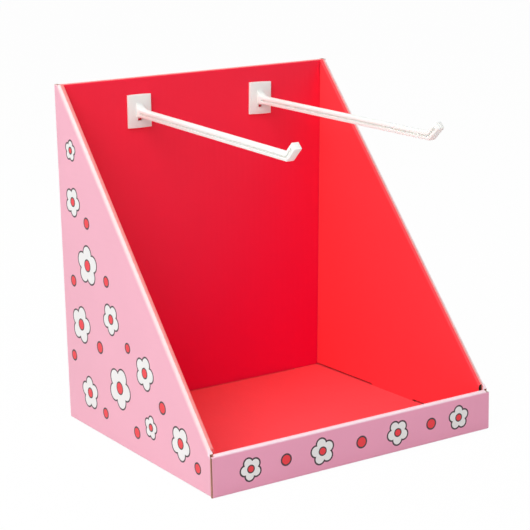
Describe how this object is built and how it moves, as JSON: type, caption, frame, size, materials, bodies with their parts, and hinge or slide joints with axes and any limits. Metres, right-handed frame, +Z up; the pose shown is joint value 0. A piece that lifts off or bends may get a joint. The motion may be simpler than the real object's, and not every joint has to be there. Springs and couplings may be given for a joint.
{
  "type": "counter display box",
  "caption": "Open-front counter display folded from one printed corrugated sheet, with sloping rolled side walls, a low front lip and upturned display hooks through the back wall.",
  "frame": {"origin": "middle of the underside the display rests on", "axes": "+Z up, +X to the viewer's right when facing the open front, +Y to the back; the open front faces -Y"},
  "size_m": [0.3, 0.2769, 0.3225],
  "materials": {
    "printed_board": "satin",
    "hook_plastic": "gloss"
  },
  "bodies": {
    "root": {"display_carton": "printed_board", "hook_left": "hook_plastic", "hook_right": "hook_plastic"}
  },
  "joints": []
}
